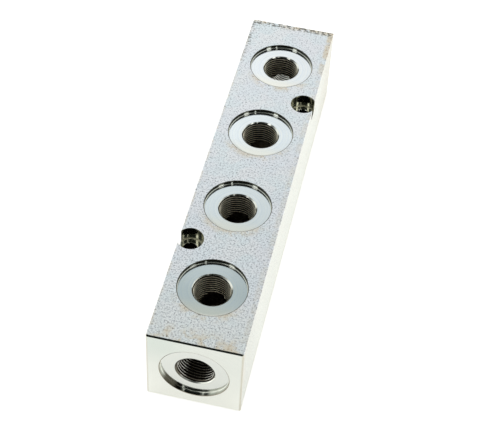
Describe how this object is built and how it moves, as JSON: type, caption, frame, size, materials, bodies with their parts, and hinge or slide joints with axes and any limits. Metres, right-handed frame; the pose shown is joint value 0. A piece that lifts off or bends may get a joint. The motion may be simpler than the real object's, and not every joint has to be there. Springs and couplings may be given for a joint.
{
  "type": "hydraulic manifold block",
  "caption": "Square steel bar with a lengthwise oil gallery, spotfaced threaded ports along its top and in its ends, and counterbored screw holes that break through its sides.",
  "frame": {"origin": "middle of the bottom face", "axes": "+Y along the bar, +Z out of the row of top ports, +X across the bar"},
  "size_m": [0.04, 0.198, 0.04],
  "materials": {
    "zinc_steel": "zinc-plated steel, fine rough sides and bright machined ports"
  },
  "bodies": {
    "root": {"manifold_block": "zinc_steel"}
  },
  "joints": []
}
